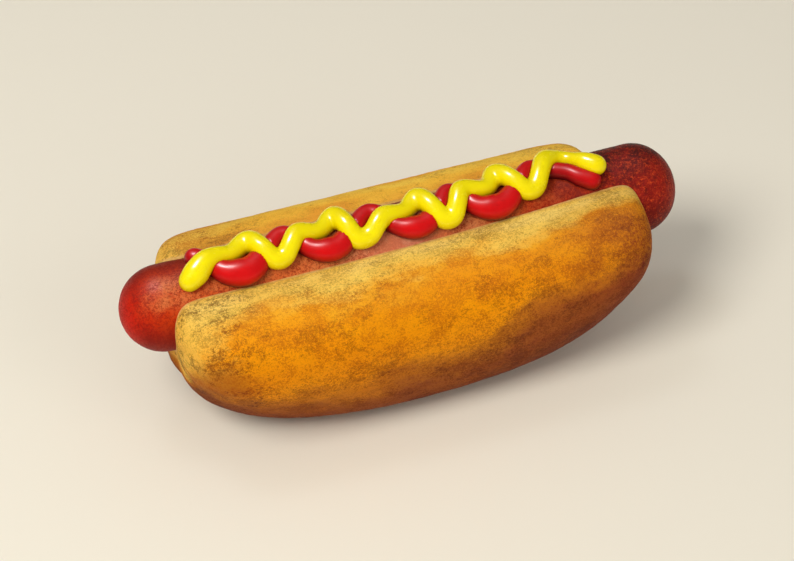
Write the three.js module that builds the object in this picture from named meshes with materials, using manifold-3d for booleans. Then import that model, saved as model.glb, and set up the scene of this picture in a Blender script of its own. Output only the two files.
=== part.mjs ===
// A hot dog: a plump sausage lying in a soft split roll, with a bead of ketchup and a bead of mustard
// piped over it in waves.
// Millimetres. +X runs along the roll, -Y is its front half, +Z is up. The origin lies under the middle
// of the whole, on the roll's flat base.
import * as THREE from "three";
import { mergeVertices } from "three/addons/utils/BufferGeometryUtils.js";
import Module from "manifold-3d";

const wasm = await Module();
wasm.setup();

// ---------------------------------------------------------------- driving dimensions
const clearance = 0.3; // between pieces that touch

const roll = {
  halfWidth: 22.5, // of one half of the roll, across
  halfHeight: 28, // of one half of the roll
  apart: 9.8, // from the middle plane to the middle of each half, so that they grow together below
  lean: 2.2, // the halves open outwards by this much at the lip
  squareness: 2.46, // 2 is an ellipse, more is boxier
  baseDepth: 1.5, // cut off below, for the flat base
  // the ends close round a spine that runs inside each half
  spineOut: 1.6,
  spineHeight: 27.7,
  endTop: 38.7, // bluntness of the ends towards the lip
  endLow: 2.3, // and towards the base, where the roll is shaped like a boat
  endBlend: 3.7,
  endRound: 2.5,
  // the lip of the front half bulges out at its -X end
  bulgeBlend: 6, // how suddenly, along the roll
  bulgeHeight: 20, // above the spine, where it is full
};
// The halves are not quite alike: the front one is longer. "rise" is how much a lip climbs from its middle
// to +X, "sag" how much it dips in the middle.
const frontHalf = { side: -1, halfLength: 76, shift: 0, rise: 1.3, sag: 1.4, bulge: 3.5 };
const rearHalf = { side: 1, halfLength: 73.4, shift: -3.9, rise: -0.4, sag: 0.2, bulge: 0 };

const sausage = {
  length: 182,
  radiusLeft: 13.3,
  radiusRight: 14.5,
  middle: new THREE.Vector3(0, 3.6, 43.1), // it lies nearer to the rear half
};

// Beads of sauce are piped along turning points: "along" the sausage, "across" it round its skin from its
// top line to the front, the bead's "radius", and the "lift" of its middle over the skin.
// Each wave of ketchup goes from a crest at the rear round a wide arc at the front; along counts from the
// crest, and "fullness" adds to the radius of the arc.
const ketchupWaves = [
  { start: -66.2, fullness: 0.3 },
  { start: -38.2, fullness: -0.2 },
  { start: -10.2, fullness: -0.4 },
  { start: 15.7, fullness: 0 },
];
const ketchupTurns = [
  { along: 0, across: -1.9, radius: 3.1, lift: 1.6 },
  { along: 4.4, across: 2, radius: 3.2, lift: 1.2 },
  { along: 6.8, across: 5.2, radius: 3.2, lift: 1.8, arc: true },
  { along: 10.6, across: 6.6, radius: 3.9, lift: 2, arc: true },
  { along: 15, across: 6.5, radius: 3.8, lift: 1.8, arc: true },
  { along: 21.8, across: 1.8, radius: 3.2, lift: 1.2 },
];
const ketchupTail = [
  { along: 43.6, across: -3.3, radius: 3, lift: 1.6 },
  { along: 49.2, across: -1.1, radius: 2.7, lift: 1.2 },
  { along: 54.2, across: 1.4, radius: 2.6, lift: 1.3 },
  { along: 56.9, across: 4, radius: 2.9, lift: 1.4 },
  { along: 60.2, across: 6, radius: 3.1, lift: 1.5 },
];

// Each wave of mustard goes from a crest at the rear down to a dip at the front and back up to a shoulder
// that runs on to the next crest. Along counts from the crest.
const mustardWaves = [
  {
    start: -49.2, crest: -2.4, dip: { along: 7.2, across: 5.7, width: 2.8 },
    shoulder: { along: 14.8, across: 0.7 }, ending: { along: 22, across: 0.4 },
  },
  {
    start: -21.1, crest: -3.6, dip: { along: 5.9, across: 5.9, width: 4.1 },
    shoulder: { along: 13.6, across: 2.2 }, ending: { along: 21.2, across: 1.1 },
  },
  {
    start: 5.6, crest: -2.3, dip: { along: 6.7, across: 6.6, width: 2.9 },
    shoulder: { along: 13.4, across: 0.3 }, ending: { along: 22, across: 0.3 },
  },
  {
    start: 32.2, crest: -4.3, dip: { along: 8.1, across: 4.4, width: 2.9 },
    shoulder: { along: 16.3, across: -2.9 }, ending: { along: 21.6, across: -4.3 },
  },
];
// It lies on the sausage at its crests and dips, and climbs over the ketchup between them.
const mustardSizes = {
  crest: { radius: 3.2, lift: 2.3 },
  crossing: { radius: 2.75, lift: 3.8 },
  dip: { radius: 2.9, lift: 2.4 },
  shoulder: { radius: 2.95, lift: 3.9 },
  ending: { radius: 2.5, lift: 2.1 },
};
const mustardSag = 0.45; // the stretch down to a dip hangs this much nearer the front than halfway
const mustardHead = [
  { along: -70.4, across: 5.5, radius: 3.1, lift: 2.1 },
  { along: -68, across: 4.2, radius: 3.7, lift: 2.8 },
  { along: -64, across: 1.9, radius: 3.2, lift: 3.8 },
  { along: -60.5, across: 1.1, radius: 2.7, lift: 3.6 },
  { along: -55.6, across: 0.6, radius: 2.55, lift: 2.4 },
];
const mustardTail = [
  { along: 57.2, across: -2.2, radius: 2.2, lift: 2.2 },
  { along: 60.1, across: 0.8, radius: 2.8, lift: 3.2 },
  { along: 62.8, across: 2.9, radius: 3.1, lift: 3.4 },
];

const facets = {
  rollAround: 36,
  rollAlong: 30,
  sausageAround: 40,
  sausageEnd: 9, // rings in each round end
  beadAround: 10,
  beadEnd: 3,
  beadStep: 2.05, // between rings of a bead
  beadWindow: 3.2, // each ring faces the way the bead runs this far before and after it
};

const colours = { crust: 0xdb9334, meat: 0x9c3626, ketchup: 0xc8141a, mustard: 0xf2dc0a };

// ---------------------------------------------------------------- solids and lofts
// A closed skin over rings: place(around, along) gives each point, for both counting from 0 to 1.
function loft(ringSides, rings, place) {
  const geometry = new THREE.SphereGeometry(1, ringSides, rings);
  const position = geometry.attributes.position;
  for (let row = 0, index = 0; row <= rings; row++) {
    for (let side = 0; side <= ringSides; side++, index++) {
      const point = place((side % ringSides) / ringSides, row / rings);
      position.setXYZ(index, point.x, point.y, point.z);
    }
  }
  return geometry;
}

function solid(geometry) {
  geometry.deleteAttribute("normal");
  geometry.deleteAttribute("uv");
  const merged = mergeVertices(geometry, 1e-4);
  const vertProperties = new Float32Array(merged.attributes.position.array);
  const triVerts = new Uint32Array(merged.index.array);
  return new wasm.Manifold(new wasm.Mesh({ numProp: 3, vertProperties, triVerts }));
}

function piece(name, body, colour, roughness) {
  const mesh = body.getMesh();
  const geometry = new THREE.BufferGeometry();
  geometry.setAttribute("position", new THREE.BufferAttribute(mesh.vertProperties, 3));
  geometry.setIndex(new THREE.BufferAttribute(mesh.triVerts, 1));
  const material = new THREE.MeshStandardMaterial({ color: colour, roughness, metalness: 0 });
  const result = new THREE.Mesh(geometry, material);
  result.name = name;
  return result;
}

// A cut can leave a crumb beside the piece itself.
function withoutCrumbs(body) {
  return body.decompose().reduce((largest, other) => (other.volume() > largest.volume() ? other : largest));
}

const power = (value, exponent) => Math.sign(value) * Math.abs(value) ** exponent;

// ---------------------------------------------------------------- the roll
// One half of the roll. Its section is a boxy ellipse that leans outwards, and towards the ends every
// section shrinks to the spine: late and bluntly at the lip, early and gently at the base.
function halfRoll(half) {
  const middleHeight = roll.halfHeight - roll.baseDepth;
  return loft(facets.rollAround, facets.rollAlong, (around, along) => {
    const angle = -half.side * 2 * Math.PI * around;
    const reach = -Math.cos(Math.PI * along);
    const upward = power(Math.sin(angle), 2 / roll.squareness);
    const outward = power(Math.cos(angle), 2 / roll.squareness);
    const y = roll.apart + roll.lean * upward + roll.halfWidth * outward;
    const z = middleHeight + roll.halfHeight * upward;
    const direction = Math.atan2(z - roll.spineHeight, y - roll.spineOut);
    const towardsLip = (0.5 + 0.5 * Math.sin(direction)) ** roll.endBlend;
    const bluntness = THREE.MathUtils.lerp(roll.endLow, roll.endTop, towardsLip);
    const size = Math.max(0, 1 - Math.abs(reach) ** bluntness) ** (1 / roll.endRound);
    const height = THREE.MathUtils.lerp(roll.spineHeight, z, size);
    const drift = half.rise * reach - half.sag * (1 - reach ** 2); // of the lip
    const nearEnd = Math.max(0, -reach) ** roll.bulgeBlend;
    const nearLip = THREE.MathUtils.clamp((height - roll.spineHeight) / roll.bulgeHeight, 0, 1);
    return new THREE.Vector3(
      half.shift + half.halfLength * reach - half.bulge * nearEnd * nearLip,
      half.side * THREE.MathUtils.lerp(roll.spineOut, y, size),
      height * (1 + drift / (2 * roll.halfHeight)),
    );
  });
}

function below(height) {
  const size = 4 * frontHalf.halfLength;
  return solid(new THREE.BoxGeometry(size, size, size).translate(0, 0, height - size / 2));
}

// ---------------------------------------------------------------- the sausage
function sausageRadius(x) {
  const portion = (x - sausage.middle.x) / sausage.length + 0.5;
  return THREE.MathUtils.lerp(sausage.radiusLeft, sausage.radiusRight, portion);
}

function sausageSkin(extra) {
  const straight = sausage.length / 2 - sausage.radiusLeft;
  const profile = [];
  for (let ring = 0; ring <= 2 * facets.sausageEnd + 1; ring++) {
    const right = ring > facets.sausageEnd;
    const step = right ? ring - facets.sausageEnd - 1 : facets.sausageEnd - ring;
    const turn = (step / facets.sausageEnd) * (Math.PI / 2);
    const sign = right ? 1 : -1;
    const x = sign * (straight + sausage.radiusLeft * Math.sin(turn));
    const taper = sausageRadius(sausage.middle.x + x) / sausage.radiusLeft;
    const radius = step === facets.sausageEnd ? 0 : sausage.radiusLeft * Math.cos(turn) * taper + extra;
    profile.push(new THREE.Vector2(radius, x + (step === facets.sausageEnd ? sign * extra : 0)));
  }
  return new THREE.LatheGeometry(profile, facets.sausageAround)
    .rotateZ(-Math.PI / 2)
    .translate(sausage.middle.x, sausage.middle.y, sausage.middle.z);
}

// ---------------------------------------------------------------- the sauces
function ketchupPath() {
  const turns = [];
  for (const wave of ketchupWaves) {
    for (const turn of ketchupTurns) {
      const radius = turn.radius + (turn.arc ? wave.fullness : 0);
      turns.push({ ...turn, along: wave.start + turn.along, radius });
    }
  }
  return [...turns, ...ketchupTail];
}

function mustardPath() {
  const turns = [...mustardHead];
  for (const { start, crest, dip, shoulder, ending } of mustardWaves) {
    const turn = (along, across, sizes) => ({ along: start + along, across, ...sizes });
    const dipStart = dip.along - dip.width / 2;
    const dipEnd = dip.along + dip.width / 2;
    turns.push(
      turn(0, crest, mustardSizes.crest),
      turn(dipStart / 2, (crest + dip.across) / 2 + mustardSag, mustardSizes.crossing),
      turn(dipStart, dip.across, mustardSizes.dip),
      turn(dipEnd, dip.across, mustardSizes.dip),
      turn((dipEnd + shoulder.along) / 2, (dip.across + shoulder.across) / 2, mustardSizes.crossing),
      turn(shoulder.along, shoulder.across, mustardSizes.shoulder),
      turn(ending.along, ending.across, mustardSizes.ending),
    );
  }
  return [...turns, ...mustardTail];
}

// Wraps a flat path round the sausage: "across" becomes an angle from its top line.
function wrap(along, across, lift) {
  const radius = sausageRadius(along);
  const angle = across / radius;
  return new THREE.Vector3(
    along,
    sausage.middle.y - (radius + lift) * Math.sin(angle),
    sausage.middle.z + (radius + lift) * Math.cos(angle),
  );
}

// A bead of sauce along the turning points, thicker by "extra" all round, with round ends.
function bead(turns, extra) {
  const path = new THREE.CatmullRomCurve3(
    turns.map((turn) => new THREE.Vector3(turn.along, turn.across, turn.lift)),
  );
  const widths = new THREE.CatmullRomCurve3(
    turns.map((turn) => new THREE.Vector3(turn.radius, 0, 0)), false, "catmullrom",
  );
  const length = path.getLength();
  const startCap = turns[0].radius + extra;
  const endCap = turns[turns.length - 1].radius + extra;
  const middleRings = Math.round(length / facets.beadStep);
  const rings = middleRings + 2 * facets.beadEnd;

  const centre = (distance) => {
    const spot = path.getPointAt(THREE.MathUtils.clamp(distance / length, 0, 1));
    return wrap(spot.x, spot.y, spot.z);
  };
  const heading = (distance) => {
    const from = centre(Math.max(0, distance - facets.beadWindow));
    return centre(Math.min(length, distance + facets.beadWindow)).sub(from).normalize();
  };

  return loft(facets.beadAround, rings, (around, along) => {
    const ring = Math.round(along * rings);
    const before = Math.max(0, facets.beadEnd - ring) / facets.beadEnd;
    const after = Math.max(0, ring - facets.beadEnd - middleRings) / facets.beadEnd;
    const distance = ((ring - facets.beadEnd) / middleRings) * length;
    const onPath = THREE.MathUtils.clamp(distance, 0, length);
    const middle = centre(onPath);
    const forward = heading(onPath);
    const outward = new THREE.Vector3(
      0, middle.y - sausage.middle.y, middle.z - sausage.middle.z,
    ).normalize();
    const sideways = new THREE.Vector3().crossVectors(outward, forward).normalize();
    const upward = new THREE.Vector3().crossVectors(forward, sideways);
    const spread = widths.getPoint(path.getUtoTmapping(onPath / length)).x + extra;
    const turn = (before + after) * (Math.PI / 2);
    const push = Math.sin(turn) * (after * endCap > 0 ? endCap : -startCap);
    const radius = spread * Math.cos(turn);
    const angle = -2 * Math.PI * around;
    return middle
      .addScaledVector(forward, push)
      .addScaledVector(sideways, radius * Math.cos(angle))
      .addScaledVector(upward, radius * Math.sin(angle));
  });
}

// ---------------------------------------------------------------- assembly
const ketchupBead = ketchupPath();
const mustardBead = mustardPath();

const meatWithRoom = solid(sausageSkin(clearance));
const bun = solid(halfRoll(frontHalf))
  .add(solid(halfRoll(rearHalf)))
  .subtract(below(0))
  .subtract(meatWithRoom);
const mustard = solid(bead(mustardBead, 0)).subtract(meatWithRoom);
const ketchup = withoutCrumbs(
  solid(bead(ketchupBead, 0)).subtract(meatWithRoom).subtract(solid(bead(mustardBead, clearance))),
);

const hotDog = new THREE.Group();
hotDog.add(
  piece("bun", bun, colours.crust, 0.7),
  piece("sausage", solid(sausageSkin(0)), colours.meat, 0.4),
  piece("ketchup", ketchup, colours.ketchup, 0.2),
  piece("mustard", mustard, colours.mustard, 0.25),
);

export default hotDog;
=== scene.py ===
"""The looks of a hot dog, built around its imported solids.

Shapes are worked out in millimetres, in the same frame as the solids: +X along the roll, -Y its front
half, +Z up. They turn into metres where a mesh is made.
"""

import math

import bpy
import numpy as np
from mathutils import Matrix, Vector, noise


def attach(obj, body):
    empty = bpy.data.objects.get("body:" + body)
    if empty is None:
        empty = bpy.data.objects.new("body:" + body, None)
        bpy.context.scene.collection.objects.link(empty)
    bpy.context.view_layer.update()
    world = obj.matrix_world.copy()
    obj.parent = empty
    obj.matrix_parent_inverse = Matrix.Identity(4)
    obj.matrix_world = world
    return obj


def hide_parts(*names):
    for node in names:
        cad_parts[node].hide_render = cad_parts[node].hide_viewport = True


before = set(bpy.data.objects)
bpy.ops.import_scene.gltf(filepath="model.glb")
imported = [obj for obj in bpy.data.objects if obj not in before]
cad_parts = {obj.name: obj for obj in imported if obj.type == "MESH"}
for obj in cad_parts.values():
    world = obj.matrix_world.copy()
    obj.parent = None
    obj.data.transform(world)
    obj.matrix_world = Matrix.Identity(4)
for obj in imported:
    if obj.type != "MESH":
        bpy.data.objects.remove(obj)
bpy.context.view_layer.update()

MM = 0.001

# ---------------------------------------------------------------- sizes, in millimetres
ROLL = dict(
    half_width=22.5,  # from the middle of each half of the roll to its side
    half_height=28.0,  # and to its top
    apart=9.8,  # from the middle plane to the middle of each half, so that the halves overlap
    lean=2.2,  # each half leans outwards by this much at its lip
    squareness=2.46,  # of a half's section: 2 is an ellipse, and more is boxier
    base_depth=1.5,  # cut off below, for the flat base
    spine_out=1.6,  # at its ends, each half closes round a line this far from the middle plane
    spine_height=27.7,  # and this high
    end_top=38.7,  # how blunt the ends are towards the lip
    end_low=2.3,  # and towards the base, where the roll is shaped like a boat
    end_blend=3.7,  # how near the lip the one turns into the other
    end_round=2.5,
    bulge_blend=6,  # how suddenly a lip stands out at its -X end
    bulge_height=20.0,  # above the line, where it stands out fully
    sides=120,
    rings=160,
)
# The halves are not quite alike. A lip is higher by its rise at +X and lower by it at -X, dips by its sag
# in the middle, and stands out by its bulge at -X.
FRONT_HALF = dict(side=-1, half_length=76.0, shift=0.0, rise=1.3, sag=1.4, bulge=3.5)
REAR_HALF = dict(side=1, half_length=73.4, shift=-3.9, rise=-0.4, sag=0.2, bulge=0.0)
INSIDE_ANGLE = 150  # degrees round a half, past which its crust goes back down the inner side

SAUSAGE = dict(length=182.0, radius_left=13.3, radius_right=14.5, middle=(0.0, 3.6, 43.1))
GROOVE_GAP = 0.1  # the groove is cut this much wider than the sausage, all round
SAUCE_GAP = 0.02  # and the sauces are cut off this far over it

# The beads' turning points: along the sausage, across it from its top line to the front, and the bead's
# radius and the lift of its middle over the sausage. The ketchup's waves: where each starts, and what it
# adds to the radius of its arc, the third to fifth turn.
KETCHUP_WAVES = [(-66.2, 0.3), (-38.2, -0.2), (-10.2, -0.4), (15.7, 0)]
KETCHUP_TURNS = [
    (0, -1.9, 3.1, 1.6), (4.4, 2, 3.2, 1.2), (6.8, 5.2, 3.2, 1.8), (10.6, 6.6, 3.9, 2),
    (15, 6.5, 3.8, 1.8), (21.8, 1.8, 3.2, 1.2),
]
KETCHUP_ARC = range(2, 5)
KETCHUP_TAIL = [
    (43.6, -3.3, 3, 1.6), (49.2, -1.1, 2.7, 1.2), (54.2, 1.4, 2.6, 1.3), (56.9, 4, 2.9, 1.4),
    (60.2, 6, 3.1, 1.5),
]
# The mustard's waves: a crest, a dip, a shoulder and an ending, which runs on to the next crest.
MUSTARD_WAVES = [
    dict(start=-49.2, crest=-2.4, dip=(7.2, 5.7), dip_width=2.8, shoulder=(14.8, 0.7), ending=(22, 0.4)),
    dict(start=-21.1, crest=-3.6, dip=(5.9, 5.9), dip_width=4.1, shoulder=(13.6, 2.2), ending=(21.2, 1.1)),
    dict(start=5.6, crest=-2.3, dip=(6.7, 6.6), dip_width=2.9, shoulder=(13.4, 0.3), ending=(22, 0.3)),
    dict(start=32.2, crest=-4.3, dip=(8.1, 4.4), dip_width=2.9, shoulder=(16.3, -2.9), ending=(21.6, -4.3)),
]
MUSTARD_SIZES = dict(
    crest=(3.2, 2.3), crossing=(2.75, 3.8), dip=(2.9, 2.4), shoulder=(2.95, 3.9), ending=(2.5, 2.1),
)
MUSTARD_SAG = 0.45  # the stretch down to a dip hangs this much nearer the front than halfway
MUSTARD_HEAD = [
    (-70.4, 5.5, 3.1, 2.1), (-68, 4.2, 3.7, 2.8), (-64, 1.9, 3.2, 3.8), (-60.5, 1.1, 2.7, 3.6),
    (-55.6, 0.6, 2.55, 2.4),
]
MUSTARD_TAIL = [(57.2, -2.2, 2.2, 2.2), (60.1, 0.8, 2.8, 3.2), (62.8, 2.9, 3.1, 3.4)]
BEAD = dict(
    window=3.2,  # each ring of a bead faces the way it runs this far before and after it
    step=0.6,  # from ring to ring
    sides=32,
    end_rings=12,
    fineness=40,  # points of its path for each turning point
)

# How even skins are made: the voxel's size, and how often the skin is smoothed afterwards. Smoothing fills
# the inner bends of a bead, and swelling puts back what that takes off the rest of it.
CRUST_SKIN = dict(voxel=0.66, smoothings=3)
SAUCE_SKIN = dict(voxel=0.35, smoothings=3)
KETCHUP_BENDS = dict(voxel=0.4, smoothings=24)
KETCHUP_SWELL = 0.2
MUSTARD_BENDS = dict(voxel=0.4, smoothings=48)
MUSTARD_SWELL = 0.42

# The lumps of a skin: their height and width, and their noise's octaves and seed.
CRUST_LUMPS = [(0.16, 9.0, 2, 1), (0.06, 2.2, 3, 2)]
MEAT_LUMPS = [(0.12, 14.0, 2, 3), (0.03, 2.0, 2, 4)]
MEAT_SINK = 0.05  # the sausage's skin lies this much lower, so that its lumps hardly stand proud


# ---------------------------------------------------------------- meshes
def loft(ring_sides, rings, place):
    """Points and faces of a closed skin over rings. place(around, along) takes two arrays from 0 to 1."""
    rows = np.arange(1, rings) / rings
    around = np.tile(np.arange(ring_sides) / ring_sides, len(rows))
    along = np.repeat(rows, ring_sides)
    points = place(np.append(around, [0, 0]), np.append(along, [0, 1]))
    first, last = len(points) - 2, len(points) - 1
    faces = []
    for side in range(ring_sides):
        beside = (side + 1) % ring_sides
        faces.append((first, beside, side))
        for row in range(len(rows) - 1):
            here = row * ring_sides
            above = here + ring_sides
            faces.append((here + side, here + beside, above + beside, above + side))
        end = (len(rows) - 1) * ring_sides
        faces.append((last, end + side, end + beside))
    return points, faces


def new_object(name, points, faces):
    mesh = bpy.data.meshes.new(name)
    mesh.from_pydata((np.asarray(points) * MM).tolist(), [], faces)
    mesh.update()
    result = bpy.data.objects.new(name, mesh)
    bpy.context.scene.collection.objects.link(result)
    return result


def settle(piece):
    """Turns a piece's modifiers into its mesh."""
    bpy.context.view_layer.update()
    graph = bpy.context.evaluated_depsgraph_get()
    mesh = bpy.data.meshes.new_from_object(piece.evaluated_get(graph))
    piece.modifiers.clear()
    piece.data = mesh


def combine(piece, operation, others):
    """Joins the others to a piece, or cuts them out of it, and removes them."""
    for other in others:
        cut = piece.modifiers.new(operation, "BOOLEAN")
        cut.operation = operation
        cut.solver = "MANIFOLD"
        cut.object = other
        settle(piece)
        bpy.data.objects.remove(other)


def remesh(piece, voxel, smoothings):
    """Gives a piece an even skin, with its edges softened."""
    even = piece.modifiers.new("even", "REMESH")
    even.mode = "VOXEL"
    even.voxel_size = voxel * MM
    even.use_smooth_shade = True
    soft = piece.modifiers.new("soft", "SMOOTH")
    soft.factor = 0.5
    soft.iterations = smoothings
    settle(piece)


def vertex_rows(piece, name):
    rows = np.empty(len(piece.data.vertices) * 3)
    piece.data.vertices.foreach_get(name, rows)
    return rows.reshape(-1, 3)


def points_of(piece):
    return vertex_rows(piece, "co") / MM


def push_out(piece, points, distance):
    """Puts a piece's vertices at the points, pushed out along its normals by one distance or one each."""
    moved = points + vertex_rows(piece, "normal") * np.reshape(distance, (-1, 1))
    piece.data.vertices.foreach_set("co", (moved * MM).ravel())
    piece.data.update()


def add_attribute(piece, name, values):
    attribute = piece.data.attributes.new(name, "FLOAT", "POINT")
    attribute.data.foreach_set("value", np.asarray(values, np.float32))


def lumps(points, size, octaves, seed):
    """Fractal noise at each point, about -1 to 1, with lumps of a size in millimetres."""
    offset = Vector((17.3 * seed, -9.1 * seed, 4.7 * seed))
    return np.array([
        noise.fractal(Vector(point) / size + offset, 1.0, 2.0, octaves) for point in points
    ])


def relief(points, layers):
    """How far a skin stands out at each point, by the lumps of all its layers."""
    return sum(height * lumps(points, size, octaves, seed) for height, size, octaves, seed in layers)


def smooth_step(low, high, values):
    share = np.clip((values - low) / (high - low), 0, 1)
    return share * share * (3 - 2 * share)


def power(values, exponent):
    return np.sign(values) * np.abs(values) ** exponent


def mix(first, second, share):
    return first + (second - first) * share


# ---------------------------------------------------------------- the roll
def half_roll(half):
    def place(around, along):
        angle = -half["side"] * 2 * math.pi * around
        reach = -np.cos(math.pi * along)
        upward = power(np.sin(angle), 2 / ROLL["squareness"])
        outward = power(np.cos(angle), 2 / ROLL["squareness"])
        y = ROLL["apart"] + ROLL["lean"] * upward + ROLL["half_width"] * outward
        z = ROLL["half_height"] * (1 + upward) - ROLL["base_depth"]
        direction = np.arctan2(z - ROLL["spine_height"], y - ROLL["spine_out"])
        towards_lip = (0.5 + 0.5 * np.sin(direction)) ** ROLL["end_blend"]
        bluntness = mix(ROLL["end_low"], ROLL["end_top"], towards_lip)
        size = np.clip(1 - np.abs(reach) ** bluntness, 0, 1) ** (1 / ROLL["end_round"])
        height = mix(ROLL["spine_height"], z, size)
        drift = half["rise"] * reach - half["sag"] * (1 - reach**2)
        near_end = np.clip(-reach, 0, 1) ** ROLL["bulge_blend"]
        near_lip = np.clip((height - ROLL["spine_height"]) / ROLL["bulge_height"], 0, 1)
        return np.stack([
            half["shift"] + half["half_length"] * reach - half["bulge"] * near_end * near_lip,
            half["side"] * mix(ROLL["spine_out"], y, size),
            height * (1 + drift / (2 * ROLL["half_height"])),
        ], axis=-1)

    return new_object("half_roll", *loft(ROLL["sides"], ROLL["rings"], place))


def block_below_floor():
    """A block wider than the roll, with its top at the floor."""
    size = 4 * FRONT_HALF["half_length"]
    corners = [(x * size / 2, y * size / 2, z * size) for z in (-1, 0) for y in (-1, 1) for x in (-1, 1)]
    faces = [(0, 2, 3, 1), (4, 5, 7, 6), (0, 1, 5, 4), (2, 6, 7, 3), (0, 4, 6, 2), (1, 3, 7, 5)]
    return new_object("below", corners, faces)


def crust_angle(points):
    """Degrees round each half: -90 below, 0 at the outer side, 90 on top, and back down the inner side."""
    out = (np.abs(points[:, 1]) - ROLL["apart"]) / ROLL["half_width"]
    up = (points[:, 2] - ROLL["half_height"] + ROLL["base_depth"]) / ROLL["half_height"]
    angle = np.degrees(np.arctan2(up, out))
    angle = np.where(angle < -90, angle + 360, angle)
    back_down = INSIDE_ANGLE - 2 * (angle - INSIDE_ANGLE)  # to -90 below
    angle = np.where(angle > INSIDE_ANGLE, back_down, angle)
    angle = mix(60, angle, smooth_step(0.05, 0.3, np.hypot(up, out)))  # calm at the tips
    low_side = mix(-60, 70, smooth_step(10, 36, points[:, 2]))
    join_shade = 1 - smooth_step(4, 10, np.abs(points[:, 1]))
    return mix(angle, np.minimum(angle, low_side), join_shade)  # darker where the halves join, most near the floor: painted shade


def make_bun():
    """The roll. Its attributes: angle, reach from -1 to 1 along a half, and the shares groove and rear."""
    bun = half_roll(FRONT_HALF)
    combine(bun, "UNION", [half_roll(REAR_HALF)])
    combine(bun, "DIFFERENCE", [block_below_floor(), sausage_skin(GROOVE_GAP)])
    bun.name = "bun_bread"
    remesh(bun, **CRUST_SKIN)
    points = points_of(bun)
    points[:, 2] = np.maximum(points[:, 2], 0)
    groove = 1 - smooth_step(0.3, 1.0, over_sausage(points))
    above_base = smooth_step(0, 2, points[:, 2])
    push_out(bun, points, relief(points, CRUST_LUMPS) * (1 - groove) * above_base)

    rear = smooth_step(-3, 3, points[:, 1])
    shift = mix(FRONT_HALF["shift"], REAR_HALF["shift"], rear)
    half_length = mix(FRONT_HALF["half_length"], REAR_HALF["half_length"], rear)
    add_attribute(bun, "angle", crust_angle(points))
    add_attribute(bun, "reach", (points[:, 0] - shift) / half_length)
    add_attribute(bun, "groove", groove)
    add_attribute(bun, "rear", rear)
    return bun


# ---------------------------------------------------------------- the sausage
def sausage_radius(x):
    share = (x - SAUSAGE["middle"][0]) / SAUSAGE["length"] + 0.5
    return mix(SAUSAGE["radius_left"], SAUSAGE["radius_right"], share)


def over_sausage(points):
    """How far points lie outside the sausage, measured from its axis."""
    middle = SAUSAGE["middle"]
    return np.hypot(points[:, 1] - middle[1], points[:, 2] - middle[2]) - sausage_radius(points[:, 0])


def sausage_skin(extra, around_sides=128, end_rings=40, middle_rings=120):
    """The sausage, thicker by extra all round. Its rings lie closer together in the round ends."""
    middle = SAUSAGE["middle"]
    end_length = SAUSAGE["radius_left"]
    straight = SAUSAGE["length"] / 2 - end_length
    turns = np.linspace(0, math.pi / 2, end_rings, endpoint=False)
    left_x, left_share = -straight - end_length * np.cos(turns), np.sin(turns)
    middle_x = np.linspace(-straight, straight, middle_rings + 1)
    stations = np.concatenate([left_x, middle_x, -left_x[::-1]])
    shares = np.concatenate([left_share, np.ones(len(middle_x)), left_share[::-1]])

    def place(around, along):
        ring = np.rint(along * (len(stations) - 1)).astype(int)
        x = stations[ring]
        share = shares[ring]
        radius = share * (sausage_radius(middle[0] + x) + extra)
        slope = np.where(share < 1, np.sqrt(np.clip(1 - share**2, 0, 1)), 0)
        x = x + np.sign(x) * extra * slope
        angle = -2 * math.pi * around
        return np.stack([
            middle[0] + x, middle[1] + radius * np.cos(angle), middle[2] + radius * np.sin(angle),
        ], axis=-1)

    return new_object("sausage_link", *loft(around_sides, len(stations) - 1, place))


def make_sausage():
    """The sausage. Its attributes are its reach, -1 to 1, and its angle, 0 on top and 90 in front."""
    sausage = sausage_skin(0.0, around_sides=192, middle_rings=240)
    points = points_of(sausage)
    push_out(sausage, points, relief(points, MEAT_LUMPS) - MEAT_SINK)
    for face in sausage.data.polygons:
        face.use_smooth = True
    up, front = points[:, 2] - SAUSAGE["middle"][2], SAUSAGE["middle"][1] - points[:, 1]
    add_attribute(sausage, "reach", points[:, 0] / (SAUSAGE["length"] / 2))
    add_attribute(sausage, "angle", np.degrees(np.arctan2(front, up)))
    return sausage


# ---------------------------------------------------------------- the sauces
def ketchup_path():
    turns = []
    for start, fullness in KETCHUP_WAVES:
        for count, (along, across, radius, lift) in enumerate(KETCHUP_TURNS):
            turns.append((start + along, across, radius + fullness * (count in KETCHUP_ARC), lift))
    return np.array(turns + KETCHUP_TAIL, float)


def mustard_path():
    turns = list(MUSTARD_HEAD)
    for wave in MUSTARD_WAVES:
        crest, (dip_along, dip_across) = wave["crest"], wave["dip"]
        shoulder_along, shoulder_across = wave["shoulder"]
        dip_start = dip_along - wave["dip_width"] / 2
        dip_end = dip_along + wave["dip_width"] / 2
        for along, across, kind in (
            (0, crest, "crest"),
            (dip_start / 2, (crest + dip_across) / 2 + MUSTARD_SAG, "crossing"),
            (dip_start, dip_across, "dip"),
            (dip_end, dip_across, "dip"),
            ((dip_end + shoulder_along) / 2, (dip_across + shoulder_across) / 2, "crossing"),
            (shoulder_along, shoulder_across, "shoulder"),
            (*wave["ending"], "ending"),
        ):
            turns.append((wave["start"] + along, across, *MUSTARD_SIZES[kind]))
    return np.array(turns + MUSTARD_TAIL, float)


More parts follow.
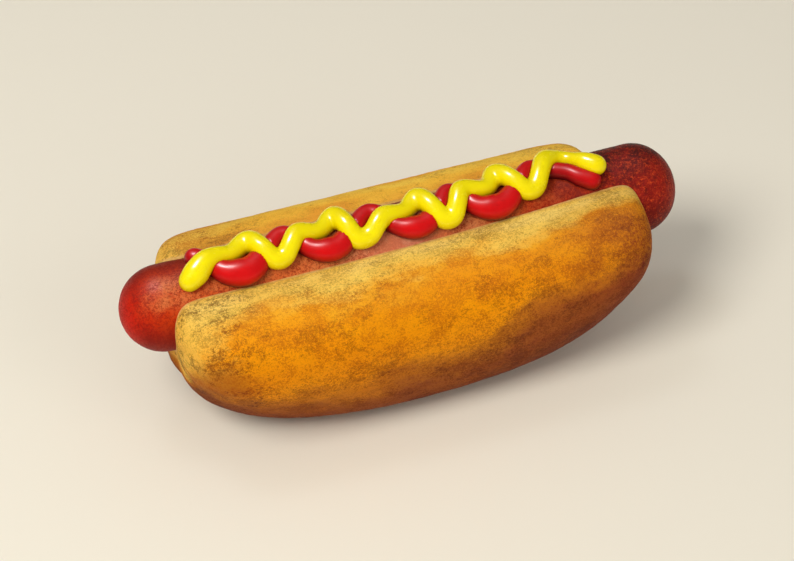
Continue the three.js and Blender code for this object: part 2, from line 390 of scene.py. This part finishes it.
def spline(knots, times, centripetal=True):
    """A Catmull-Rom curve through the knots. times count from 0 to 1 per knot."""
    padded = np.vstack([2 * knots[0] - knots[1], knots, 2 * knots[-1] - knots[-2]])
    index = np.clip(np.floor(times).astype(int), 0, len(knots) - 2)
    share = (times - index)[:, None]
    before, start, end, after = (padded[index + shift] for shift in range(4))

    def span(first, second):
        distance = np.sum((second - first) ** 2, axis=1, keepdims=True) ** 0.5
        return np.maximum(np.sqrt(distance), 1e-4) if centripetal else np.ones_like(distance)

    first, middle, last = span(before, start), span(start, end), span(end, after)
    start_slope = (
        (start - before) / first - (end - before) / (first + middle) + (end - start) / middle
    ) * middle
    end_slope = (
        (end - start) / middle - (after - start) / (middle + last) + (after - end) / last
    ) * middle
    return (
        (2 * share**3 - 3 * share**2 + 1) * start
        + (share**3 - 2 * share**2 + share) * start_slope
        + (3 * share**2 - 2 * share**3) * end
        + (share**3 - share**2) * end_slope
    )


def wrap(path):
    """Wraps points (along, across, lift) round the sausage."""
    radius = sausage_radius(path[:, 0])
    angle = path[:, 1] / radius
    middle = SAUSAGE["middle"]
    return np.stack([
        path[:, 0],
        middle[1] - (radius + path[:, 2]) * np.sin(angle),
        middle[2] + (radius + path[:, 2]) * np.cos(angle),
    ], axis=-1)


def unit(vectors):
    return vectors / np.linalg.norm(vectors, axis=-1, keepdims=True)


def bead(name, turns):
    """A bead with round ends, through turning points (along, across, radius, lift)."""
    times = np.linspace(0, len(turns) - 1, BEAD["fineness"] * len(turns))
    path = spline(turns[:, [0, 1, 3]], times)
    widths = spline(turns[:, [2]], times, centripetal=False)[:, 0]
    spacing = np.linalg.norm(np.diff(path, axis=0), axis=1)
    distance = np.concatenate([[0], np.cumsum(spacing)])
    length = distance[-1]
    end_rings = BEAD["end_rings"]
    middle_rings = round(length / BEAD["step"])
    rings = middle_rings + 2 * end_rings

    def centre(at):
        at = np.clip(at, 0, length)
        return wrap(np.stack([np.interp(at, distance, column) for column in path.T], axis=-1))

    def place(around, along):
        ring = np.rint(along * rings)
        before = np.clip(end_rings - ring, 0, None) / end_rings
        after = np.clip(ring - end_rings - middle_rings, 0, None) / end_rings
        at = np.clip((ring - end_rings) / middle_rings * length, 0, length)
        middle = centre(at)
        forward = unit(centre(at + BEAD["window"]) - centre(at - BEAD["window"]))
        outward = (middle - np.array(SAUSAGE["middle"])) * (0, 1, 1)
        sideways = unit(np.cross(outward, forward))
        upward = np.cross(forward, sideways)
        width = np.interp(at, distance, widths)
        turn = (before + after) * math.pi / 2
        push = np.sin(turn) * np.where(after > 0, width, -width)
        radius = width * np.cos(turn)
        angle = -2 * math.pi * around
        return (
            middle
            + forward * push[:, None]
            + sideways * (radius * np.cos(angle))[:, None]
            + upward * (radius * np.sin(angle))[:, None]
        )

    return new_object(name, *loft(BEAD["sides"], rings, place))


def soft_bead(name, turns, bends, swell):
    """A bead with its inner bends filled."""
    soft = bead(name, turns)
    remesh(soft, **bends)
    push_out(soft, points_of(soft), swell)
    return soft


def make_sauces():
    """The ketchup and the mustard. Their attribute is their height over the sausage."""
    mustard = soft_bead("mustard_bead", mustard_path(), MUSTARD_BENDS, MUSTARD_SWELL)
    ketchup = soft_bead("ketchup_bead", ketchup_path(), KETCHUP_BENDS, KETCHUP_SWELL)
    cutter = mustard.copy()
    cutter.data = mustard.data.copy()
    bpy.context.scene.collection.objects.link(cutter)
    combine(mustard, "DIFFERENCE", [sausage_skin(SAUCE_GAP)])
    combine(ketchup, "DIFFERENCE", [sausage_skin(SAUCE_GAP), cutter])
    for sauce in (ketchup, mustard):
        remesh(sauce, **SAUCE_SKIN)
        add_attribute(sauce, "height", over_sausage(points_of(sauce)))
    return ketchup, mustard


# ---------------------------------------------------------------- colours
def srgb(red, green, blue):
    """A colour from 0 to 255, in the linear values that a shader takes."""
    def linear(value):
        value /= 255
        return value / 12.92 if value <= 0.04045 else ((value + 0.055) / 1.055) ** 2.4

    return tuple(linear(value) for value in (red, green, blue))


# The crust's colours and its spots', by angle, from the base, over the side, to the lip.
LIP_ANGLE = 95
# All darken towards the base, partly by browning and partly by painted shade.
FRONT_CRUST = [
    (-80, srgb(140, 72, 30)),
    (-30, srgb(164, 88, 30)),
    (-5, srgb(204, 122, 24)),
    (14, srgb(240, 152, 6)),
    (32, srgb(242, 154, 0)),
    (54, srgb(246, 163, 0)),
    (61, srgb(247, 174, 24)),
    (68, srgb(252, 194, 64)),
    (80, srgb(254, 212, 90)),
    (98, srgb(255, 220, 112)),
    (INSIDE_ANGLE, srgb(246, 196, 100)),
]
# The rear half darkens down its inner side towards the sausage: painted shade.
REAR_CRUST = [
    (-80, srgb(140, 72, 30)),
    (-30, srgb(164, 88, 30)),
    (-5, srgb(198, 118, 26)),
    (14, srgb(240, 150, 20)),
    (40, srgb(252, 178, 40)),
    (56, srgb(255, 210, 76)),
    (68, srgb(254, 196, 60)),
    (80, srgb(242, 166, 46)),
    (94, srgb(220, 138, 38)),
    (INSIDE_ANGLE, srgb(200, 120, 34)),
]
CRUST_SPOTS = [
    (-80, srgb(76, 30, 18)),
    (-5, srgb(112, 48, 20)),
    (24, srgb(164, 70, 12)),
    (60, srgb(190, 94, 12)),
    (82, srgb(168, 120, 36)),
    (100, srgb(176, 128, 46)),
    (INSIDE_ANGLE, srgb(170, 120, 46)),
]
REAR_END_TINT = srgb(226, 214, 216)
# The pale end is painted light, and the low end is painted shade.
PALE_END, PALE_END_SPOTS, LOW_END = srgb(244, 194, 78), srgb(150, 114, 36), srgb(140, 78, 24)
# These browns hold painted shade as well as browning.
SHADED_BROWN, SHADED_BROWN_END, SHADED_BROWN_SPOTS = srgb(122, 56, 32), srgb(128, 42, 28), srgb(92, 34, 20)
CLOUD_TINT, SINGED_TINT = srgb(236, 214, 190), srgb(190, 176, 170)
CRUMB = [(0.3, srgb(206, 150, 76)), (0.7, srgb(232, 190, 116))]

# The sausage's colours, by reach. Their paler, pinker middle is painted highlight.
MEAT = [
    (-1, srgb(194, 22, 2)),
    (-0.85, srgb(202, 60, 12)),
    (-0.6, srgb(208, 96, 38)),
    (-0.3, srgb(212, 122, 66)),
    (-0.12, srgb(214, 144, 106)),
    (0.0, srgb(210, 137, 106)),
    (0.14, srgb(206, 134, 84)),
    (0.35, srgb(190, 92, 42)),
    (0.7, srgb(156, 38, 32)),
    (1, srgb(172, 36, 22)),
]
# The first is a painted highlight.
MEAT_HIGHLIGHT, SHADE_TINT, PATCH_TINT = srgb(216, 121, 66), srgb(176, 140, 132), srgb(250, 170, 140)
# The second is painted shade, for the +X end.
MEAT_SPECKS, END_SHADE = srgb(128, 22, 10), srgb(54, 20, 20)
MOTTLES, FLECKS = srgb(70, 18, 20), srgb(224, 78, 32)

# A sauce's foot colour is painted shade, towards the sausage.
KETCHUP = dict(
    bright=srgb(218, 8, 12), deep=srgb(204, 6, 10), shaded_foot=srgb(72, 6, 14), roughness=0.32, gloss=0.27,
)
MUSTARD = dict(
    bright=srgb(255, 238, 0), deep=srgb(250, 230, 0), shaded_foot=srgb(204, 176, 2), roughness=0.22, gloss=0.35,
)
SHADE_HEIGHT = 5.6  # below this height over the sausage, in millimetres, a sauce darkens to its painted shade
FLOOR = srgb(244, 238, 222)
STUDIO_LIGHT = (1, 0.97, 0.92)


# ---------------------------------------------------------------- materials
class Look:
    """A short way to write a material's nodes. What it takes are numbers, colours or outputs of nodes."""

    def __init__(self, name):
        self.material = bpy.data.materials.new(name)
        self.material.use_nodes = True
        self.tree = self.material.node_tree
        self.shader = self.tree.nodes["Principled BSDF"]

    def set(self, socket, value):
        if isinstance(value, bpy.types.NodeSocket):
            self.tree.links.new(value, socket)
        else:
            socket.default_value = (*value, 1) if socket.type == "RGBA" else value

    def add(self, kind, inputs, **settings):
        node = self.tree.nodes.new(kind)
        for key, value in settings.items():
            setattr(node, key, value)
        for key, value in inputs.items():
            self.set(node.inputs[key], value)
        return node

    def attribute(self, name):
        return self.add("ShaderNodeAttribute", {}, attribute_name=name).outputs["Fac"]

    def noise(self, scale, detail=4.0, roughness=0.6, offset=(0, 0, 0), stretch=1.0):
        """Noise with a scale per metre, drawn out along the roll by a stretch."""
        place = self.add("ShaderNodeTexCoord", {}).outputs["Object"]
        placing = {0: place, 1: (1 / stretch, 1, 1), 2: offset}
        moved = self.add("ShaderNodeVectorMath", placing, operation="MULTIPLY_ADD").outputs[0]
        inputs = {"Vector": moved, "Scale": scale, "Detail": detail, "Roughness": roughness}
        return self.add("ShaderNodeTexNoise", inputs).outputs["Fac"]

    def fade(self, value, low, high, to_low=0.0, to_high=1.0, curve="SMOOTHSTEP"):
        """Goes from to_low to to_high while the value goes from low to high, and no further."""
        inputs = {"Value": value, "From Min": low, "From Max": high, "To Min": to_low, "To Max": to_high}
        return self.add("ShaderNodeMapRange", inputs, interpolation_type=curve).outputs["Result"]

    def grade(self, value, stops):
        """A colour that eases from stop to stop, each a value and its colour."""
        low, high = stops[0][0], stops[-1][0]
        node = self.add("ShaderNodeValToRGB", {"Fac": self.fade(value, low, high, curve="LINEAR")})
        node.color_ramp.interpolation = "EASE"
        elements = node.color_ramp.elements
        while len(elements) < len(stops):
            elements.new(0.5)
        for element, (stop, colour) in zip(elements, stops):
            element.position = (stop - low) / (high - low)
            element.color = (*colour, 1)
        return node.outputs["Color"]

    def math(self, operation, first, second):
        return self.add("ShaderNodeMath", {0: first, 1: second}, operation=operation).outputs[0]

    def times(self, first, *others):
        for other in others:
            first = self.math("MULTIPLY", first, other)
        return first

    def mix(self, share, first, second, blend="MIX"):
        node = self.add("ShaderNodeMix", {"Factor": share}, data_type="RGBA", blend_type=blend)
        sockets = {socket.identifier: socket for socket in node.inputs}
        self.set(sockets["A_Color"], first)
        self.set(sockets["B_Color"], second)
        return next(socket for socket in node.outputs if socket.identifier == "Result_Color")

    def tint(self, share, colour, by):
        """A colour multiplied by another, as far as the share says."""
        return self.mix(share, colour, by, "MULTIPLY")

    def bump(self, height, distance, strength):
        """Relief from a height, over a distance in metres."""
        node = self.add("ShaderNodeBump", {"Height": height, "Distance": distance, "Strength": strength})
        self.set(self.shader.inputs["Normal"], node.outputs["Normal"])

    def surface(self, colour, roughness, gloss):
        self.set(self.shader.inputs["Base Color"], colour)
        self.set(self.shader.inputs["Roughness"], roughness)
        self.set(self.shader.inputs["Specular IOR Level"], gloss)


def crust_material():
    look = Look("crust")
    rear, turn, reach = look.attribute("rear"), look.attribute("angle"), look.attribute("reach")
    front = look.math("SUBTRACT", 1, look.times(rear, 0.9))
    ragged = look.math("ADD", reach, look.fade(look.noise(80, 5, 0.7, (8, 3, 1)), 0.3, 0.7, -0.07, 0.07))

    # browning that wanders, and painted shade that climbs up the front half towards +X
    wander = look.fade(look.noise(45, 4, 0.6, stretch=2), 0.3, 0.7, -12, 12)
    below_lip = look.math("SUBTRACT", LIP_ANGLE, look.math("ADD", turn, wander))
    climb = look.times(look.fade(reach, -0.3, 1.2, 0, 0.7), look.math("SUBTRACT", 1, rear))
    angle = look.math("SUBTRACT", LIP_ANGLE, look.times(below_lip, look.math("ADD", 1, climb)))
    rear_colour = look.tint(look.fade(reach, -0.5, -0.98), look.grade(angle, REAR_CRUST), REAR_END_TINT)
    colour = look.mix(rear, look.grade(angle, FRONT_CRUST), rear_colour)
    spots = look.grade(angle, CRUST_SPOTS)

    # painted light at the -X end, which is paler, and painted shade at its foot
    pale = look.times(look.fade(ragged, -0.82, -1.02), look.fade(turn, 18, 50))
    colour = look.mix(pale, colour, PALE_END)
    spots = look.mix(pale, spots, PALE_END_SPOTS)
    low_end = look.times(look.fade(ragged, -0.72, -0.95, 0, 0.6), look.fade(turn, 52, 22))
    colour = look.mix(low_end, colour, LOW_END)

    # the +X end and the foot darkest, in blotches: browning and painted shade
    blotches = look.fade(look.noise(110, 6, 0.75, (5, 2, 1), 1.6), 0.38, 0.62, 0.25, 1)
    blotches = look.math("MAXIMUM", blotches, look.fade(ragged, 0.45, 0.95, 0.25, 0.8))
    end = look.times(look.fade(ragged, 0.3, 0.92, 0, 0.94), look.fade(turn, 90, 54, 0.16, 1))
    shaded_foot = look.fade(angle, 12, -20, 0, 0.58)
    grain = look.fade(look.noise(850, 5, 1.0, (6, 2, 9)), 0.44, 0.56, 0.5, 1.15)
    shaded_brown = look.times(look.math("MAXIMUM", end, shaded_foot), front, blotches, grain)
    spots = look.mix(shaded_brown, spots, SHADED_BROWN_SPOTS)
    colour = look.mix(shaded_brown, colour, look.mix(look.fade(reach, 0.1, 0.6), SHADED_BROWN, SHADED_BROWN_END))
    clouds = look.fade(look.noise(70, 3, 0.6, (2, 6, 4), 2.5), 0.35, 0.65, 0, 0.45)
    colour = look.tint(look.times(clouds, front), colour, CLOUD_TINT)

    # stippled all over, most at the -X end of the rear half
    patches = look.fade(look.noise(120, 5, 0.75, (1, 7, 3), 1.4), 0.36, 0.64, -0.06, 0.06)
    stipple = look.fade(look.math("ADD", look.noise(1400, 4, 1.0, (3, 1, 2)), patches), 0.47, 0.57)
    rear_depth = look.fade(reach, -0.6, -1.0, 0.3, 0.85)
    depth = look.fade(rear, 0, 1, 0.62, rear_depth, curve="LINEAR")
    colour = look.mix(look.times(stipple, depth), colour, spots)

    # singed in clusters of specks, most at the -X end
    clusters = look.fade(look.noise(85, 6, 0.8, (7, 7, 4), 1.5), 0.44, 0.62, -0.13, 0.04)
    clusters = look.math("ADD", clusters, look.fade(ragged, -0.6, -0.95, 0, 0.035))
    singed = look.fade(look.math("ADD", look.noise(1100, 5, 1.0, (4, 8, 2)), clusters), 0.48, 0.57)
    depth = look.times(look.fade(ragged, -0.55, -0.9, 0.55, 0.8), look.fade(rear, 0, 1, 1, 0.9))
    colour = look.mix(look.times(singed, depth), colour, look.tint(1.0, spots, SINGED_TINT))

    colour = look.mix(look.attribute("groove"), colour, look.grade(look.noise(500, 5), CRUMB))
    look.surface(colour, look.fade(stipple, 0, 1, 0.7, 0.85), gloss=0.1)
    look.bump(look.noise(900, 6, 0.7, stretch=1.3), 0.0003, 0.35)
    return look.material


def meat_material():
    look = Look("meat")
    reach, turn = look.attribute("reach"), look.attribute("angle")
    colour = look.grade(reach, MEAT)

    # a painted highlight, facing up and forward near the -X end
    facing = look.times(look.fade(turn, 68, 38), look.fade(turn, -6, 20))
    near_end = look.times(look.fade(reach, -0.98, -0.86), look.fade(reach, -0.3, -0.6))
    cloudy = look.fade(look.noise(130, 5, 0.7, (4, 1, 6)), 0.38, 0.6, 0.1, 0.85)
    colour = look.mix(look.times(facing, near_end, cloudy), colour, MEAT_HIGHLIGHT)

    # deeper on the rear and low in front, and in patches
    shade = look.math("ADD", look.fade(turn, 46, 104), look.fade(turn, 20, -35))
    shade = look.times(shade, look.fade(reach, -1, -0.93))
    colour = look.tint(look.math("MINIMUM", shade, 1.0), colour, SHADE_TINT)
    patches = look.fade(look.noise(110, 5, 0.75), 0.38, 0.62)
    colour = look.tint(look.times(patches, 0.5), colour, PATCH_TINT)

    # dark specks, fainter in the middle
    smooth = look.times(look.fade(reach, -0.25, -0.05), look.fade(reach, 0.2, 0.05))
    denser = look.fade(patches, 0, 1, -0.03, 0.03)
    specks = look.fade(look.math("ADD", look.noise(1200, 4, 1.0, (1, 2, 3)), denser), 0.47, 0.56)
    depth = look.times(look.fade(reach, 0.2, 0.85, 0.75, 0.85), look.fade(smooth, 0, 1, 1, 0.35))
    colour = look.mix(look.times(specks, depth), colour, MEAT_SPECKS)

    # the +X end: painted shade, nearly black on top and at its foot; mottled, with bright flecks
    dark = look.math("MAXIMUM", look.fade(turn, 60, -25, 0.22, 0.92), look.fade(turn, 82, 112, 0, 0.7))
    cloudy = look.fade(look.noise(150, 6, 0.85, (9, 2, 5)), 0.4, 0.56, 0.1, 1)
    colour = look.mix(look.times(look.fade(reach, 0.4, 0.75), dark, cloudy), colour, END_SHADE)
    mottles = look.fade(look.noise(420, 5, 0.9, (2, 8, 5)), 0.5, 0.6)
    colour = look.mix(look.times(mottles, look.fade(reach, 0.4, 0.8, 0, 0.55)), colour, MOTTLES)
    flecks = look.fade(look.noise(900, 5, 1.0, (6, 6, 2)), 0.52, 0.6)
    colour = look.mix(look.times(flecks, look.fade(reach, 0.3, 0.8, 0.15, 0.72)), colour, FLECKS)

    look.surface(colour, look.fade(specks, 0, 1, 0.42, 0.6), gloss=0.09)
    look.bump(look.noise(800, 5, 0.7), 0.0002, 0.3)
    return look.material


def sauce_material(name, bright, deep, shaded_foot, roughness, gloss):
    """A sauce that gets deeper in clouds, and darkens to a painted shade towards the sausage."""
    look = Look(name)
    colour = look.mix(look.fade(look.noise(140, 4, 0.6), 0.35, 0.7), bright, deep)
    # painted shade towards the sausage
    colour = look.mix(look.fade(look.attribute("height"), SHADE_HEIGHT, 0.2), colour, shaded_foot)
    uneven = look.fade(look.noise(400, 3), 0.3, 0.7, roughness, roughness + 0.06)
    look.surface(colour, uneven, gloss)
    look.bump(look.noise(260, 3), 0.0001, 0.2)
    return look.material


def dress(piece, material, node):
    piece.data.materials.clear()
    piece.data.materials.append(material)
    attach(piece, "root")
    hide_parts(node)


# ---------------------------------------------------------------- stage, light and camera
CAMERA = dict(azimuth=-20.4, elevation=43.6, lens=135.0, distance=927.2, target=(-3.13, 0.0, 32.96))
LAMPS_AIM = 30.0  # the lamps face the point this high over the origin
FLOOR_REACH = 6000.0


def direction(azimuth, elevation):
    """The unit vector from the object towards a viewer or light at these angles, in degrees."""
    around, above = math.radians(azimuth), math.radians(elevation)
    level = math.cos(above)
    return Vector((math.sin(around) * level, -math.cos(around) * level, math.sin(above)))


def make_camera():
    data = bpy.data.cameras.new("camera")
    data.lens = CAMERA["lens"]
    data.sensor_width = 36
    data.clip_start, data.clip_end = 0.01, 50
    camera = bpy.data.objects.new("camera", data)
    bpy.context.scene.collection.objects.link(camera)
    back = direction(CAMERA["azimuth"], CAMERA["elevation"])
    camera.location = (Vector(CAMERA["target"]) + back * CAMERA["distance"]) * MM
    camera.rotation_euler = (-back).to_track_quat("-Z", "Y").to_euler()
    bpy.context.scene.camera = camera


def add_lamp(name, azimuth, elevation, distance, size, energy, colour=(1, 1, 1)):
    """A round lamp. Its distance and size are in metres, and its energy in watts."""
    data = bpy.data.lights.new(name, "AREA")
    data.shape = "DISK"
    data.size = size
    data.energy = energy
    data.color = colour
    lamp = bpy.data.objects.new(name, data)
    bpy.context.scene.collection.objects.link(lamp)
    towards = direction(azimuth, elevation)
    lamp.location = towards * distance + Vector((0, 0, LAMPS_AIM * MM))
    lamp.rotation_euler = towards.to_track_quat("Z", "Y").to_euler()
    return lamp


def make_floor():
    corners = [(x * FLOOR_REACH, y * FLOOR_REACH, 0) for x, y in ((-1, -1), (1, -1), (1, 1), (-1, 1))]
    floor = new_object("floor", corners, [(0, 1, 2, 3)])
    look = Look("pale_floor")
    look.set(look.shader.inputs["Base Color"], FLOOR)
    look.set(look.shader.inputs["Roughness"], 0.9)
    floor.data.materials.append(look.material)


def light_studio():
    """An even room, a key lamp and a fill lamp, none of which glints, and a small lamp that only glints."""
    world = bpy.data.worlds.new("studio")
    world.use_nodes = True
    background = world.node_tree.nodes["Background"]
    background.inputs["Color"].default_value = (*STUDIO_LIGHT, 1)
    background.inputs["Strength"].default_value = 0.36
    bpy.context.scene.world = world
    world.cycles_visibility.glossy = False
    key = add_lamp("key", -62, 52, distance=1.2, size=0.6, energy=9.3, colour=STUDIO_LIGHT)
    key.visible_glossy = False
    fill = add_lamp("fill", 30, 30, distance=1.4, size=0.9, energy=3)
    fill.visible_glossy = False
    shine = add_lamp("shine", -140, 68, distance=1.2, size=0.26, energy=30)
    shine.visible_diffuse = False
    bpy.context.scene.view_settings.view_transform = "Standard"
    bpy.context.scene.view_settings.look = "None"


# ---------------------------------------------------------------- assembly
make_camera()
make_floor()
light_studio()

bun = make_bun()
sausage = make_sausage()
ketchup, mustard = make_sauces()
dress(bun, crust_material(), "bun")
dress(sausage, meat_material(), "sausage")
dress(ketchup, sauce_material("ketchup", **KETCHUP), "ketchup")
dress(mustard, sauce_material("mustard", **MUSTARD), "mustard")
